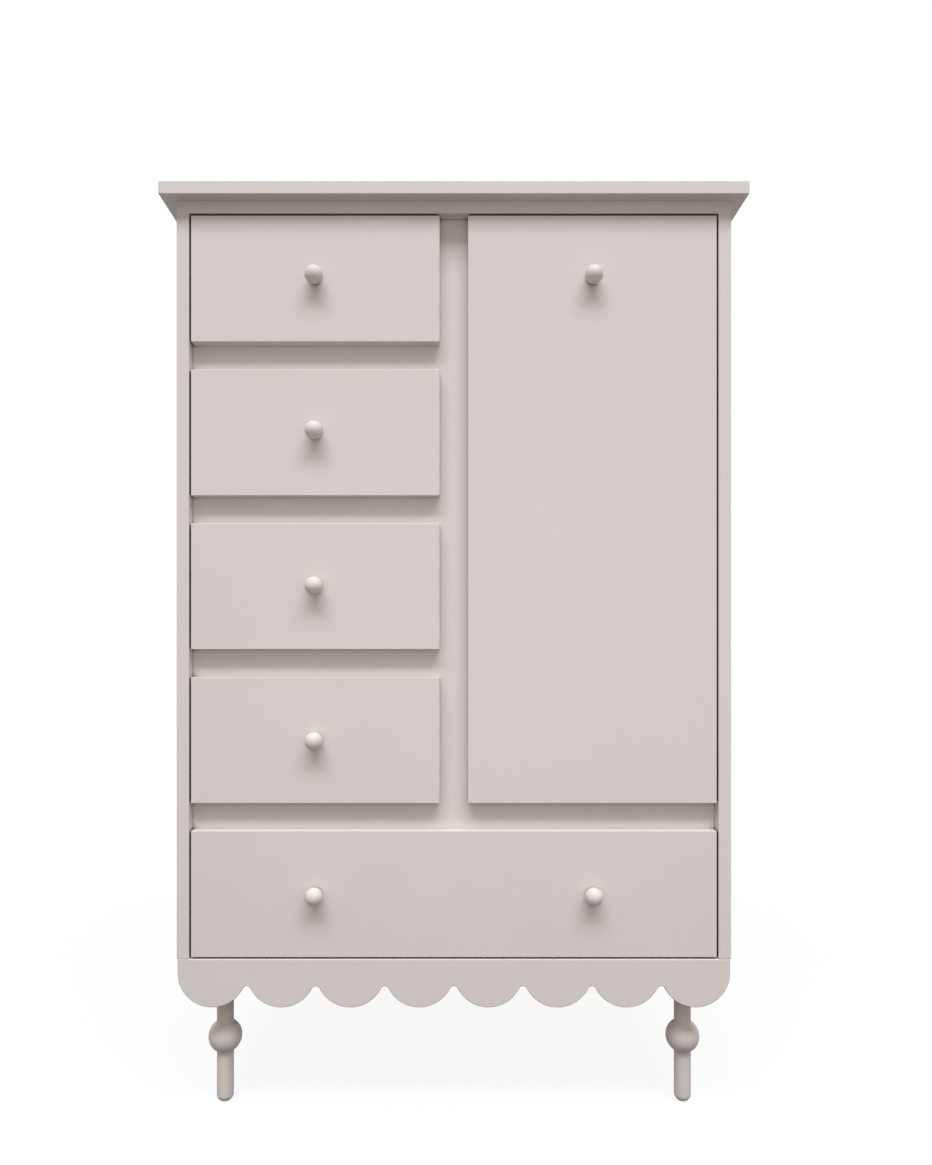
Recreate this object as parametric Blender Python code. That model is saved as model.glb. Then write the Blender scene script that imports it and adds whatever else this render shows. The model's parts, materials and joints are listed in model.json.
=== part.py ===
"""Tall painted dresser: a column of small drawers, a cupboard door, a wide drawer, a scalloped apron.

Metres, +Z up, front towards -Y. The origin lies on the floor under the middle of the whole object.
"""

import math

import bmesh
import bpy
from mathutils import Matrix

# Fits and small edges
SEAT = 0.0003  # hairline between pieces that touch
EASE = 0.0005  # eased edge of a painted board
RUNNER_PLAY = 0.0007  # below and beside a runner strip in its groove
PIN_PLAY = 0.00025  # around a hinge pin
FRONT_PLAY = 0.0006  # behind a closed front

# Carcass
BOARD = 0.018
CARCASS_W = 0.800
TOP_T = 0.018
TOP_OVERHANG = 0.020
BACK_T = 0.003
BACK_INSET = 0.002

# Fronts and the frame behind them
FRONT_T = 0.018
FRAME_T = 0.018
SMALL_FRONT_H = 0.182
WIDE_FRONT_H = 0.182
SMALL_DRAWERS = 4
REVEAL_X = 0.0027
REVEAL_Z = 0.003
STILE_SHOW = 0.041
RAIL_SHOW = 0.040
LAP = 0.010  # a front laps the frame by this much

# Apron
SCALLOPS = 8
APRON_T = 0.018
APRON_SIDE = 0.001  # the apron ends this far inside the side panels
APRON_STRAIGHT = 0.020
NOTCH_R = 0.006

# Legs
LEG_H = 0.213
LEG_R = 0.0125
LEG_BALL_R = 0.025
LEG_BALL_Z = 0.098
LEG_INSET = 0.056
FOOT_FLAT_R = 0.0015

# Knobs
KNOB_R = 0.013
KNOB_REACH = 0.027  # front face to knob tip
KNOB_NECK_R = 0.0065
KNOB_BASE_R = 0.008

# Drawer boxes and runners
BOX_T = 0.012
BOX_L = 0.420  # sets the depth of the carcass
BOX_RISE = 0.020  # lower edge of the front to the lower edge of the box
BOX_DROP = 0.032  # upper edge of the front to the upper edge of the box
BOX_CLEAR = 0.0015  # box side to the frame opening
BOX_REAR = 0.039  # box to the back panel
SHEET_T = 0.004
SHEET_RISE = 0.010
SHEET_TONGUE = 0.005
SHEET_PLAY = 0.0003
RUNNER_H = 0.016
RUNNER_RISE = 0.060  # lower edge of the box to its groove
RUNNER_TONGUE = 0.006
RUNNER_GAP = 0.0034  # strip to the frame in front of it
RUNNER_REAR = 0.0123  # strip to the back panel

# Cupboard
SHELVES = 2
SHELF_SETBACK = 0.060
PARTITION_T = 0.018
HINGE_INSET = 0.100  # door end to hinge centre
DOOR_SWING = 95  # degrees
PIVOT_EDGE = 0.018  # door edge to pin
PIN_R = 0.0015
EYE_WALL = 0.0012
EYE_CLEAR = 0.00035  # eye to the floor of the cup
CUP_R = 0.0175
CUP_EDGE = 0.005
CUP_BORE = 0.013
CUP_WALL = 0.0009
CUP_FLANGE = 0.003
CUP_FLANGE_T = 0.001
ARM_T = 0.002
ARM_H = 0.012
SWING_CLEAR = 0.0011  # arm to the door edge as it swings past
PLATE_L = 0.060
PLATE_H = 0.036
CATCH_W = 0.046
CATCH_H = 0.013
CATCH_D = 0.016
CATCH_X = 0.070  # door edge to catch centre
STRIKE_T = 0.001

# Heights and lines that several pieces share
CARCASS_D = FRONT_T + BOX_L + BOX_REAR
KNOB_TIP_TO_BACK = KNOB_REACH + SEAT + CARCASS_D + SEAT + BACK_T
FRONT_Y = KNOB_REACH + SEAT - KNOB_TIP_TO_BACK / 2
FRAME_Y = FRONT_Y + FRONT_T + FRONT_PLAY
INSIDE_Y = FRAME_Y + FRAME_T
REAR_Y = FRONT_Y + CARCASS_D
BACK_Y = REAR_Y + SEAT
INNER_X = CARCASS_W / 2 - BOARD
FRONT_W = INNER_X - REVEAL_X - STILE_SHOW / 2
WIDE_FRONT_W = 2 * (INNER_X - REVEAL_X)
COLUMN_X = STILE_SHOW / 2 + FRONT_W / 2
BOTTOM_Z = LEG_H + SEAT
FLOOR_Z = BOTTOM_Z + BOARD
WIDE_Z = FLOOR_Z + REVEAL_Z
COLUMN_Z = WIDE_Z + WIDE_FRONT_H + RAIL_SHOW
COLUMN_H = SMALL_DRAWERS * SMALL_FRONT_H + (SMALL_DRAWERS - 1) * RAIL_SHOW
CEILING_Z = COLUMN_Z + COLUMN_H + REVEAL_Z
CARCASS_TOP_Z = CEILING_Z + BOARD
MIDDLE_TOP_Z = COLUMN_Z + LAP
STILE_W = STILE_SHOW + 2 * LAP
RAIL_H = RAIL_SHOW + 2 * LAP
RUNNER_Y = INSIDE_Y + RUNNER_GAP
RUNNER_L = BACK_Y - RUNNER_REAR - RUNNER_Y
EYE_R = PIN_R + PIN_PLAY + EYE_WALL
PIVOT_DEPTH = FRONT_T - CUP_BORE + SEAT + CUP_WALL + EYE_R + EYE_CLEAR
FLANGE_X = PIVOT_EDGE - CUP_EDGE + CUP_FLANGE
FLANGE_Y = FRONT_T - PIVOT_DEPTH + SEAT + CUP_FLANGE_T
SWING = math.radians(DOOR_SWING)
ARM_CLEAR = FLANGE_Y * math.sin(SWING) - FLANGE_X * math.cos(SWING) + SWING_CLEAR
ARM_BACK = math.hypot(PIVOT_EDGE, FRONT_T - PIVOT_DEPTH) + SWING_CLEAR

# Finishes: colour, roughness, metallic
PAINT = ((0.665, 0.617, 0.590), 0.42, 0.0)
BIRCH = ((0.690, 0.560, 0.400), 0.55, 0.0)
SHEET = ((0.720, 0.690, 0.640), 0.60, 0.0)
BEECH = ((0.600, 0.420, 0.260), 0.50, 0.0)
STEEL = ((0.600, 0.600, 0.590), 0.32, 1.0)
DARK = ((0.090, 0.090, 0.092), 0.50, 0.0)


def clear_scene():
    for obj in list(bpy.data.objects):
        bpy.data.objects.remove(obj, do_unlink=True)


def finish(obj, look):
    colour, roughness, metallic = look
    material = bpy.data.materials.new(obj.name)
    material.use_nodes = True
    shader = material.node_tree.nodes["Principled BSDF"]
    shader.inputs["Base Color"].default_value = (*colour, 1.0)
    shader.inputs["Roughness"].default_value = roughness
    shader.inputs["Metallic"].default_value = metallic
    obj.data.materials.append(material)


def place(name, bm, look=None, at=(0, 0, 0), under=None):
    """A named object from a bmesh; without a look it is a guide for a Boolean."""
    bmesh.ops.recalc_face_normals(bm, faces=bm.faces)
    mesh = bpy.data.meshes.new(name)
    bm.to_mesh(mesh)
    bm.free()
    obj = bpy.data.objects.new(name, mesh)
    bpy.context.scene.collection.objects.link(obj)
    obj.location = at
    if under is not None:
        obj.parent = under
        obj.location = [a - b for a, b in zip(at, under.location)]
    if look is None:
        obj.hide_render = True
        obj.display_type = "WIRE"
    else:
        finish(obj, look)
    return obj


def joint_empty(name, at):
    empty = bpy.data.objects.new(name, None)
    bpy.context.scene.collection.objects.link(empty)
    empty.empty_display_size = 0.05
    empty.location = at
    return empty


def combine(obj, guide, operation):
    step = obj.modifiers.new(guide.name, "BOOLEAN")
    step.operation = operation
    step.solver = "EXACT"
    step.object = guide


def add_box(bm, low, high):
    made = bmesh.ops.create_cube(bm, size=1.0)["verts"]
    size = [b - a for a, b in zip(low, high)]
    middle = [(a + b) / 2 for a, b in zip(low, high)]
    bmesh.ops.scale(bm, verts=made, vec=size)
    bmesh.ops.translate(bm, verts=made, vec=middle)


def board(name, look, low, high, ease=0.0, under=None):
    """A rectangular board between two corners, with eased edges where it is painted."""
    middle = [(a + b) / 2 for a, b in zip(low, high)]
    half = [(b - a) / 2 for a, b in zip(low, high)]
    bm = bmesh.new()
    add_box(bm, [-h for h in half], half)
    obj = place(name, bm, look, middle, under)
    if ease:
        edge = obj.modifiers.new("eased edges", "BEVEL")
        edge.width = ease
        edge.segments = 1
        edge.limit_method = "NONE"
    return obj


def guide_boxes(name, boxes, under=None):
    bm = bmesh.new()
    for low, high in boxes:
        add_box(bm, low, high)
    return place(name, bm, None, under.location if under else (0, 0, 0), under)


def turned_mesh(profile, steps):
    """A solid of revolution about Z from (radius, height) points whose ends lie on the axis."""
    bm = bmesh.new()
    points = [bm.verts.new((r, 0.0, z)) for r, z in profile]
    edges = [bm.edges.new(pair) for pair in zip(points, points[1:])]
    bmesh.ops.spin(
        bm,
        geom=points + edges,
        cent=(0, 0, 0),
        axis=(0, 0, 1),
        angle=2 * math.pi,
        steps=steps,
        use_merge=True,
    )
    bmesh.ops.remove_doubles(bm, verts=bm.verts, dist=1e-6)
    return bm


def smooth(obj, degrees=35):
    obj.data.shade_smooth()
    obj.data.set_sharp_from_angle(angle=math.radians(degrees))


def extruded_mesh(outline, depth):
    """An outline of (x, z) points made solid from y = 0 to y = depth."""
    bm = bmesh.new()
    face = bm.faces.new([bm.verts.new((x, 0.0, z)) for x, z in outline])
    moved = bmesh.ops.extrude_face_region(bm, geom=[face])["geom"]
    verts = [item for item in moved if isinstance(item, bmesh.types.BMVert)]
    bmesh.ops.translate(bm, verts=verts, vec=(0, depth, 0))
    return bm


def arc(cx, cz, radius, start, end, steps):
    turn = (end - start) / steps
    return [
        (cx + radius * math.cos(start + i * turn), cz + radius * math.sin(start + i * turn))
        for i in range(steps + 1)
    ]


def apron_outline(width, top):
    """Straight upper edge, then a row of round scallops with a small round between each pair."""
    pitch = width / SCALLOPS
    radius = pitch / 2
    level = top - APRON_STRAIGHT
    drop = math.sqrt((radius + NOTCH_R) ** 2 - radius**2)
    meet = math.atan2(drop, radius)
    points = [(-width / 2, top)]
    for i in range(SCALLOPS):
        cx = -width / 2 + (i + 0.5) * pitch
        start = math.pi if i == 0 else math.pi + meet
        end = 2 * math.pi if i == SCALLOPS - 1 else 2 * math.pi - meet
        points += arc(cx, level, radius, start, end, 12)
        if i < SCALLOPS - 1:
            notch = arc(cx + radius, level - drop, NOTCH_R, math.pi - meet, meet, 4)
            points += notch[1:-1]
    points.append((width / 2, top))
    return points


def leg_profile():
    """Rounded foot, dowel, ball and dowel again, from the floor up."""
    sink = math.sqrt(LEG_BALL_R**2 - LEG_R**2)
    half = math.atan2(sink, LEG_R)
    round_r = LEG_R - FOOT_FLAT_R
    foot = arc(FOOT_FLAT_R, round_r, round_r, -math.pi / 2, 0.0, 6)
    ball = arc(0.0, LEG_BALL_Z, LEG_BALL_R, -half, half, 9)
    return [(0.0, 0.0), *foot, *ball, (LEG_R, LEG_H), (0.0, LEG_H)]


def knob_profile():
    """Base, waisted neck and ball, from the front face outwards."""
    centre = KNOB_REACH - KNOB_R
    sink = math.sqrt(KNOB_R**2 - KNOB_NECK_R**2)
    start = -math.atan2(sink, KNOB_NECK_R)
    ball = arc(0.0, centre, KNOB_R, start, math.pi / 2, 9)
    neck = [(0.0, 0.0), (KNOB_BASE_R, 0.0), (KNOB_BASE_R, (centre - sink) * 0.35)]
    return neck + ball[:-1] + [(0.0, KNOB_REACH)]


def knob(name, x, z, under):
    obj = place(name, turned_mesh(knob_profile(), 16), PAINT, (x, FRONT_Y - SEAT, z), under)
    obj.rotation_euler = (math.pi / 2, 0, 0)
    smooth(obj)
    return obj


def carcass():
    half = CARCASS_W / 2
    board(
        "top_panel",
        PAINT,
        (-half - TOP_OVERHANG, FRONT_Y - TOP_OVERHANG, CARCASS_TOP_Z + SEAT),
        (half + TOP_OVERHANG, BACK_Y + BACK_T, CARCASS_TOP_Z + SEAT + TOP_T),
        EASE,
    )
    inner = INNER_X - SEAT
    board("carcass_top", PAINT, (-inner, FRONT_Y, CEILING_Z), (inner, REAR_Y, CARCASS_TOP_Z), EASE)
    for side, sign in (("left", -1), ("right", 1)):
        xs = sorted((sign * INNER_X, sign * half))
        board(
            f"side_panel_{side}",
            PAINT,
            (xs[0], FRONT_Y, FLOOR_Z + SEAT),
            (xs[1], REAR_Y, CARCASS_TOP_Z),
            EASE,
        )
    board(
        "bottom_panel",
        PAINT,
        (-half, FRONT_Y + APRON_T + SEAT, BOTTOM_Z),
        (half, REAR_Y, FLOOR_Z),
        EASE,
    )
    board(
        "middle_panel",
        PAINT,
        (-inner, INSIDE_Y + SEAT, MIDDLE_TOP_Z - BOARD),
        (inner, REAR_Y, MIDDLE_TOP_Z),
    )
    board(
        "partition",
        PAINT,
        (-PARTITION_T / 2, INSIDE_Y + SEAT, MIDDLE_TOP_Z + SEAT),
        (PARTITION_T / 2, REAR_Y, CEILING_Z - SEAT),
    )
    board(
        "back_panel",
        SHEET,
        (-half + BACK_INSET, BACK_Y, BOTTOM_Z + BACK_INSET),
        (half - BACK_INSET, BACK_Y + BACK_T, CARCASS_TOP_Z - BACK_INSET),
    )
    frame_members(inner)
    apron = place(
        "apron",
        extruded_mesh(apron_outline(CARCASS_W - 2 * APRON_SIDE, FLOOR_Z), APRON_T),
        PAINT,
        (0, FRONT_Y, 0),
    )
    edge = apron.modifiers.new("eased edges", "BEVEL")
    edge.width = EASE
    edge.segments = 1
    edge.limit_method = "ANGLE"
    edge.angle_limit = math.radians(50)
    smooth(apron)


def frame_members(inner):
    """The stile and rails that show between the fronts, set back behind them."""
    low_y, high_y = FRAME_Y, INSIDE_Y
    lower = board(
        "lower_rail",
        PAINT,
        (-inner, low_y, COLUMN_Z + LAP - RAIL_H),
        (inner, high_y, COLUMN_Z + LAP),
    )
    swept = (FRONT_T - PIVOT_DEPTH) * math.sin(SWING) - PIVOT_EDGE * math.cos(SWING)
    notch_x = INNER_X - REVEAL_X - PIVOT_EDGE - swept - SWING_CLEAR
    low = (notch_x, low_y - FRAME_T, COLUMN_Z - REVEAL_Z)
    high = (inner + BOARD, high_y + FRAME_T, COLUMN_Z + 2 * LAP)
    combine(lower, guide_boxes("rail_notch", [(low, high)]), "DIFFERENCE")
    board(
        "centre_stile",
        PAINT,
        (-STILE_W / 2, low_y, COLUMN_Z + LAP + SEAT),
        (STILE_W / 2, high_y, CEILING_Z - SEAT),
    )
    for i in range(1, SMALL_DRAWERS):
        z = small_front_z(i) - RAIL_SHOW / 2
        board(
            f"drawer_rail_{SMALL_DRAWERS - i}",
            PAINT,
            (-inner, low_y, z - RAIL_H / 2),
            (-STILE_W / 2 - SEAT, high_y, z + RAIL_H / 2),
        )


def small_front_z(i):
    """Lower edge of the small front number i, counted from the bottom."""
    return COLUMN_Z + i * (SMALL_FRONT_H + RAIL_SHOW)


def legs():
    for end, y in (("front", FRONT_Y + LEG_INSET), ("rear", BACK_Y + BACK_T - LEG_INSET)):
        for side, sign in (("left", -1), ("right", 1)):
            x = sign * (CARCASS_W / 2 - LEG_INSET)
            leg = place(f"leg_{end}_{side}", turned_mesh(leg_profile(), 20), PAINT, (x, y, 0))
            smooth(leg)


def drawer(name, x, z, width, height, walls, knob_xs):
    """A front with its knobs, the grooved box behind it, its bottom sheet and its runner strips."""
    slide = joint_empty(f"{name}_slide", (x, FRONT_Y, z))
    board(
        f"{name}_front",
        PAINT,
        (x - width / 2, FRONT_Y, z),
        (x + width / 2, FRONT_Y + FRONT_T, z + height),
        EASE,
        slide,
    )
    for label, kx in knob_xs:
        knob(f"{name}_knob{label}", kx, z + height / 2, slide)
    out = width / 2 - LAP - BOX_CLEAR
    box_h = height - BOX_RISE - BOX_DROP
    inn = out - BOX_T
    front = FRONT_T + SEAT
    rear = front + BOX_L
    low = BOX_RISE
    sheet = low + SHEET_RISE
    groove = low + RUNNER_RISE
    past = 0.010
    bm = bmesh.new()
    add_box(bm, (-out, front, low), (out, rear, low + box_h))
    box = place(f"{name}_box", bm, BIRCH, slide.location, slide)
    slot_h = RUNNER_H + RUNNER_PLAY + SEAT
    grooves = [
        (
            (s * out - RUNNER_TONGUE, front - past, groove),
            (s * out + RUNNER_TONGUE, rear + past, groove + slot_h),
        )
        for s in (-1, 1)
    ]
    hollow = ((-inn, front - past, low - past), (inn, rear - BOX_T, low + box_h + past))
    combine(box, guide_boxes(f"{name}_hollow", [hollow, *grooves], slide), "DIFFERENCE")
    top = sheet + SHEET_T + 2 * SHEET_PLAY
    wide = inn + SHEET_TONGUE + SHEET_PLAY
    tee = [(-inn, low - past), (inn, low - past), (inn, sheet), (wide, sheet)]
    tee += [(wide, top), (-wide, top), (-wide, sheet), (-inn, sheet)]
    at = (x, FRONT_Y + front - past, z)
    guide = place(f"{name}_slot", extruded_mesh(tee, BOX_L + 2 * past), None, at, slide)
    combine(box, guide, "DIFFERENCE")
    board(
        f"{name}_bottom",
        SHEET,
        (x - inn - SHEET_TONGUE, FRONT_Y + front, z + sheet + SHEET_PLAY),
        (x + inn + SHEET_TONGUE, FRONT_Y + rear, z + sheet + SHEET_PLAY + SHEET_T),
        0.0,
        slide,
    )
    under_z = z + groove + slot_h - SEAT
    for side, sign, wall in zip(("left", "right"), (-1, 1), walls):
        tip = x + sign * (out - RUNNER_TONGUE + RUNNER_PLAY)
        xs = sorted((tip, wall - sign * SEAT))
        board(
            f"{name}_runner_{side}",
            BEECH,
            (xs[0], RUNNER_Y, under_z - RUNNER_H),
            (xs[1], RUNNER_Y + RUNNER_L, under_z),
        )


def drawers():
    for i in range(SMALL_DRAWERS):
        drawer(
            f"drawer_{SMALL_DRAWERS - i}",
            -COLUMN_X,
            small_front_z(i),
            FRONT_W,
            SMALL_FRONT_H,
            (-INNER_X, -PARTITION_T / 2),
            [("", -COLUMN_X)],
        )
    drawer(
        "wide_drawer",
        0.0,
        WIDE_Z,
        WIDE_FRONT_W,
        WIDE_FRONT_H,
        (-INNER_X, INNER_X),
        [("_left", -COLUMN_X), ("_right", COLUMN_X)],
    )


def cup_profile(back):
    """Thin pressed cup with a flange, along Z from its floor to the flange on the door."""
    outer = CUP_R - SEAT
    inner = outer - CUP_WALL
    flange = CUP_R + CUP_FLANGE
    lip = back + SEAT
    floor = back - CUP_BORE + SEAT
    return [
        (0.0, floor),
        (outer, floor),
        (outer, lip),
        (flange, lip),
        (flange, lip + CUP_FLANGE_T),
        (inner, lip + CUP_FLANGE_T),
        (inner, floor + CUP_WALL),
        (0.0, floor + CUP_WALL),
    ]


def arm_outline(edge_to_wall):
    """Hinge arm from above, about the pin: eye, tip, leg round the door edge, bar to the wall."""
    half = ARM_T / 2
    left = -ARM_CLEAR - ARM_T
    wall = PIVOT_EDGE + edge_to_wall - SEAT
    turn = math.asin(half / EYE_R)
    points = arc(0.0, 0.0, EYE_R, -math.pi + turn, math.pi - turn, 14)
    points += [(-ARM_CLEAR, half), (-ARM_CLEAR, ARM_BACK), (wall, ARM_BACK)]
    points += [(wall, ARM_BACK + ARM_T), (left, ARM_BACK + ARM_T), (left, -half)]
    return points


def upright(bm, height):
    """Turns an outline drawn in plan so that its extrusion stands along Z, centred on zero."""
    bmesh.ops.rotate(
        bm,
        verts=bm.verts,
        cent=(0, 0, 0),
        matrix=Matrix(((1, 0, 0), (0, 0, 1), (0, -1, 0))),
    )
    bmesh.ops.translate(bm, verts=bm.verts, vec=(0, 0, height / 2))
    return bm


def cylinder_guide(name, radius, height, steps, at, under=None):
    outline = arc(0.0, 0.0, radius, 0.0, 2 * math.pi, steps)[:-1]
    return place(name, upright(extruded_mesh(outline, height), height), None, at, under)


def cupboard():
    edge = INNER_X - REVEAL_X
    pin_x = edge - PIVOT_EDGE
    pin_y = FRONT_Y + PIVOT_DEPTH
    swing = joint_empty("door_hinge", (pin_x, pin_y, COLUMN_Z))
    door = board(
        "door_panel",
        PAINT,
        (edge - FRONT_W, FRONT_Y, COLUMN_Z),
        (edge, FRONT_Y + FRONT_T, COLUMN_Z + COLUMN_H),
        EASE,
        swing,
    )
    knob_z = COLUMN_Z + COLUMN_H - SMALL_FRONT_H / 2
    knob("door_knob", edge - FRONT_W / 2, knob_z, swing)
    cup_x = edge - CUP_EDGE - CUP_R
    for label, z in (
        ("lower", COLUMN_Z + HINGE_INSET),
        ("upper", COLUMN_Z + COLUMN_H - HINGE_INSET),
    ):
        hinge(label, z, swing, door, cup_x, pin_x, pin_y)
    catch_x = edge - FRONT_W + CATCH_X
    strike_y = FRONT_Y + FRONT_T + SEAT
    high = CEILING_Z - SEAT
    board(
        "strike_plate",
        STEEL,
        (catch_x - CATCH_W / 2, strike_y, high - CATCH_H),
        (catch_x + CATCH_W / 2, strike_y + STRIKE_T, COLUMN_Z + COLUMN_H - REVEAL_Z),
        0.0,
        swing,
    )
    catch_y = strike_y + STRIKE_T + SEAT
    board(
        "magnet_catch",
        DARK,
        (catch_x - CATCH_W / 2, catch_y, high - CATCH_H),
        (catch_x + CATCH_W / 2, catch_y + CATCH_D, high),
    )
    rise = (CEILING_Z - MIDDLE_TOP_Z - SHELVES * BOARD) / (SHELVES + 1)
    for i in range(SHELVES):
        z = MIDDLE_TOP_Z + rise + i * (rise + BOARD)
        board(
            f"shelf_{i + 1}",
            PAINT,
            (PARTITION_T / 2 + SEAT, FRONT_Y + SHELF_SETBACK, z),
            (INNER_X - SEAT, REAR_Y, z + BOARD),
        )


def hinge(label, z, swing, door, cup_x, pin_x, pin_y):
    """A cup with its pin let into the door, and the arm that reaches into it from the wall."""
    bore = turned_mesh([(0, FRONT_T - CUP_BORE), (CUP_R, FRONT_T - CUP_BORE), (CUP_R, 0.03), (0, 0.03)], 24)
    back_turn = (-math.pi / 2, 0, 0)
    guide = place(f"cup_bore_{label}", bore, None, (cup_x, FRONT_Y, z), swing)
    guide.rotation_euler = back_turn
    combine(door, guide, "DIFFERENCE")
    cup = place(
        f"hinge_cup_{label}",
        turned_mesh(cup_profile(FRONT_T), 24),
        STEEL,
        (cup_x, FRONT_Y, z),
        swing,
    )
    cup.rotation_euler = back_turn
    smooth(cup)
    reach = CUP_R - SEAT - CUP_WALL / 2
    length = 2 * math.sqrt(reach**2 - (pin_x - cup_x) ** 2)
    pin = cylinder_guide(f"pin_{label}", PIN_R, length, 12, (pin_x, pin_y, z), swing)
    combine(cup, pin, "UNION")
    arm = place(
        f"hinge_arm_{label}",
        upright(extruded_mesh(arm_outline(REVEAL_X), ARM_H), ARM_H),
        STEEL,
        (pin_x, pin_y, z),
    )
    wall = PIVOT_EDGE + REVEAL_X - SEAT
    plate = place_plate(f"plate_{label}", wall, (pin_x, pin_y, z))
    combine(arm, plate, "UNION")
    eye = cylinder_guide(f"eye_{label}", PIN_R + PIN_PLAY, 2 * ARM_H, 12, (pin_x, pin_y, z))
    combine(arm, eye, "DIFFERENCE")


def place_plate(name, wall, at):
    bm = bmesh.new()
    low = (wall - ARM_T, ARM_BACK - ARM_T / 2, -PLATE_H / 2)
    high = (wall, ARM_BACK + PLATE_L, PLATE_H / 2)
    add_box(bm, low, high)
    return place(name, bm, None, at)


def main():
    clear_scene()
    carcass()
    legs()
    drawers()
    cupboard()


main()
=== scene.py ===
"""Looks of a tall painted dresser: lacquer, birch drawer boxes, steel fittings and the studio.

Metres, +Z up, front towards -Y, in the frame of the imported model.
"""

from __future__ import annotations

import json
import logging
import math
from collections.abc import Iterable, Mapping, Sequence
from dataclasses import dataclass
from enum import Enum
from typing import Any, Union

import bmesh
import bpy
from mathutils import Matrix, Vector

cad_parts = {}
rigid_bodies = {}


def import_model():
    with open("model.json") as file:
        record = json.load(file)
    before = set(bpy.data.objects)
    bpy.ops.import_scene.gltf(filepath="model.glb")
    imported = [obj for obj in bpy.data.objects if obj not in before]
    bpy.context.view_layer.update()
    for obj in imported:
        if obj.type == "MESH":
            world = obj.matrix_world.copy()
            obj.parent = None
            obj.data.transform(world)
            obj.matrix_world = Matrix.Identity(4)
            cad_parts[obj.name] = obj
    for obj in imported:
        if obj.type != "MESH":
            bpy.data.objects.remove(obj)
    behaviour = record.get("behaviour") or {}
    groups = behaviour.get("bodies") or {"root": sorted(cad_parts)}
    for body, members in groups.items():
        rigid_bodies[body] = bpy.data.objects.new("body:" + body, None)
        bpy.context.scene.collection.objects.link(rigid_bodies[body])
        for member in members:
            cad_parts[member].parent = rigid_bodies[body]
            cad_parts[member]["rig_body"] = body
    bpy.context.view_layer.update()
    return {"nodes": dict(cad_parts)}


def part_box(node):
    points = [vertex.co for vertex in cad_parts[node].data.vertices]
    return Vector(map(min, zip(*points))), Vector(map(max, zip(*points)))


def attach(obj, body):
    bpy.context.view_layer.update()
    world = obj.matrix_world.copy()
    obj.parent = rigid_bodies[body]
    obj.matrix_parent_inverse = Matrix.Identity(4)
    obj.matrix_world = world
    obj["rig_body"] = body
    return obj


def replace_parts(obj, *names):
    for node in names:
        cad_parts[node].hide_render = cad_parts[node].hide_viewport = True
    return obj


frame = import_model()

log = logging.getLogger("dresser")

PHOTO_WIDTH = 932
PHOTO_HEIGHT = 1165
OCCLUSION_RAYS = 8
BOX_BACK_BOARD = 0.012
WELD_REACH = 0.00002
BEVEL_ANGLE = math.radians(30)

Colour = tuple[float, float, float]
Point2 = tuple[float, float]
Ring = list[bmesh.types.BMVert]
Settings = Mapping[str, Any]

WHITE: Colour = (1.0, 1.0, 1.0)


class Value:
    """A number, colour or vector that changes over a surface.

    Operators on numbers add Math nodes to the tree that the value belongs to.
    """

    def __init__(self, tree: Tree, socket: bpy.types.NodeSocket | None) -> None:
        """Wraps one output socket of a tree."""
        self.tree = tree
        self.socket = socket

    def math(self, operation: str, *terms: Term) -> Value:
        """Adds one Math node.

        Args:
            operation: Blender's name of the operation.
            terms: The inputs in order, numbers or values.

        Returns:
            The result.
        """
        return self.tree.node("ShaderNodeMath", {"operation": operation}, dict(enumerate(terms)))

    def __add__(self, other: Term) -> Value:
        """Sum of two terms."""
        return self.math("ADD", self, other)

    __radd__ = __add__

    def __sub__(self, other: Term) -> Value:
        """This value less another term."""
        return self.math("SUBTRACT", self, other)

    def __rsub__(self, other: Term) -> Value:
        """Another term less this value."""
        return self.math("SUBTRACT", other, self)

    def __mul__(self, other: Term) -> Value:
        """Product of two terms."""
        return self.math("MULTIPLY", self, other)

    __rmul__ = __mul__

    def __truediv__(self, other: Term) -> Value:
        """This value over another term."""
        return self.math("DIVIDE", self, other)

    def __rtruediv__(self, other: Term) -> Value:
        """Another term over this value."""
        return self.math("DIVIDE", other, self)

    def fraction(self) -> Value:
        """Part after the decimal point."""
        return self.math("FRACT", self)

    def size(self) -> Value:
        """Value without its sign."""
        return self.math("ABSOLUTE", self)

    def rise(self, low: float, high: float) -> Value:
        """Smooth step from 0 to 1.

        Args:
            low: Where the step starts.
            high: Where it ends.

        Returns:
            The mask.
        """
        settings = {"interpolation_type": "SMOOTHSTEP"}
        sockets = {"Value": self, "From Min": low, "From Max": high}
        return self.tree.node("ShaderNodeMapRange", settings, sockets)

    def part(self, axis: Axis) -> Value:
        """One coordinate of a vector."""
        return self.tree.node("ShaderNodeSeparateXYZ", {}, {0: self}, axis.value)

    def length(self) -> Value:
        """Length of a vector."""
        return self.tree.node("ShaderNodeVectorMath", {"operation": "LENGTH"}, {0: self}, "Value")

    def stretched(self, x: float, y: float, z: float) -> Value:
        """Vector multiplied axis by axis."""
        return self.tree.node("ShaderNodeVectorMath", {"operation": "MULTIPLY"}, {0: self, 1: (x, y, z)})


Term = Union[Value, float]


class Axis(Enum):
    """An axis of the dresser, by its place in a vector."""

    ACROSS = 0
    DEEP = 1
    UP = 2


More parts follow.
